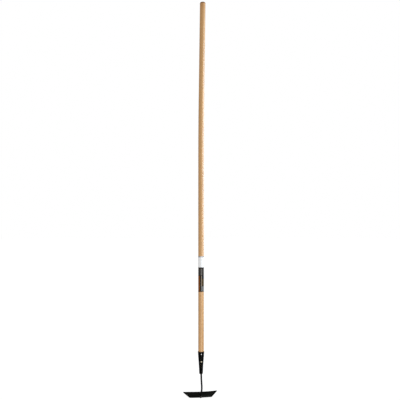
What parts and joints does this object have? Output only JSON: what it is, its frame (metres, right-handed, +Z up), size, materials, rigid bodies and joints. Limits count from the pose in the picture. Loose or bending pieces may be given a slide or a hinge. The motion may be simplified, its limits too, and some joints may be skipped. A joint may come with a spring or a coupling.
{
  "type": "grub hoe",
  "caption": "Long-handled draw hoe: round wooden shaft in a rolled conical socket, swan neck and a dished trapezoid blade set almost square to the shaft.",
  "frame": {"origin": "on the ground under the handle's axis, with the hoe upright and its blade down", "axes": "+Z up the lower handle's axis, +X to the right along the blade's length, +Y from the neck side to the cutting edge"},
  "size_m": [0.1573, 0.0585, 1.8137],
  "materials": {
    "ash_wood": "smooth sanded ash, thin clear varnish",
    "black_steel": "glossy black paint on rolled and forged steel",
    "blade_steel": "satin black paint, ground cutting bevel",
    "weld": "painted weld bead",
    "rivet_metal": "bright domed head",
    "nail_metal": "dull zinc head",
    "label_print": "dark printed wrap with plain panels, no text",
    "label_white": "plain white wrap"
  },
  "bodies": {
    "root": {"handle": "ash_wood", "socket": "black_steel", "neck": "black_steel", "blade": "blade_steel", "socket_weld": "weld", "blade_weld": "weld", "socket_rivet": "rivet_metal", "socket_nail": "nail_metal", "label_band": "label_print", "label_header": "label_white"}
  },
  "joints": []
}
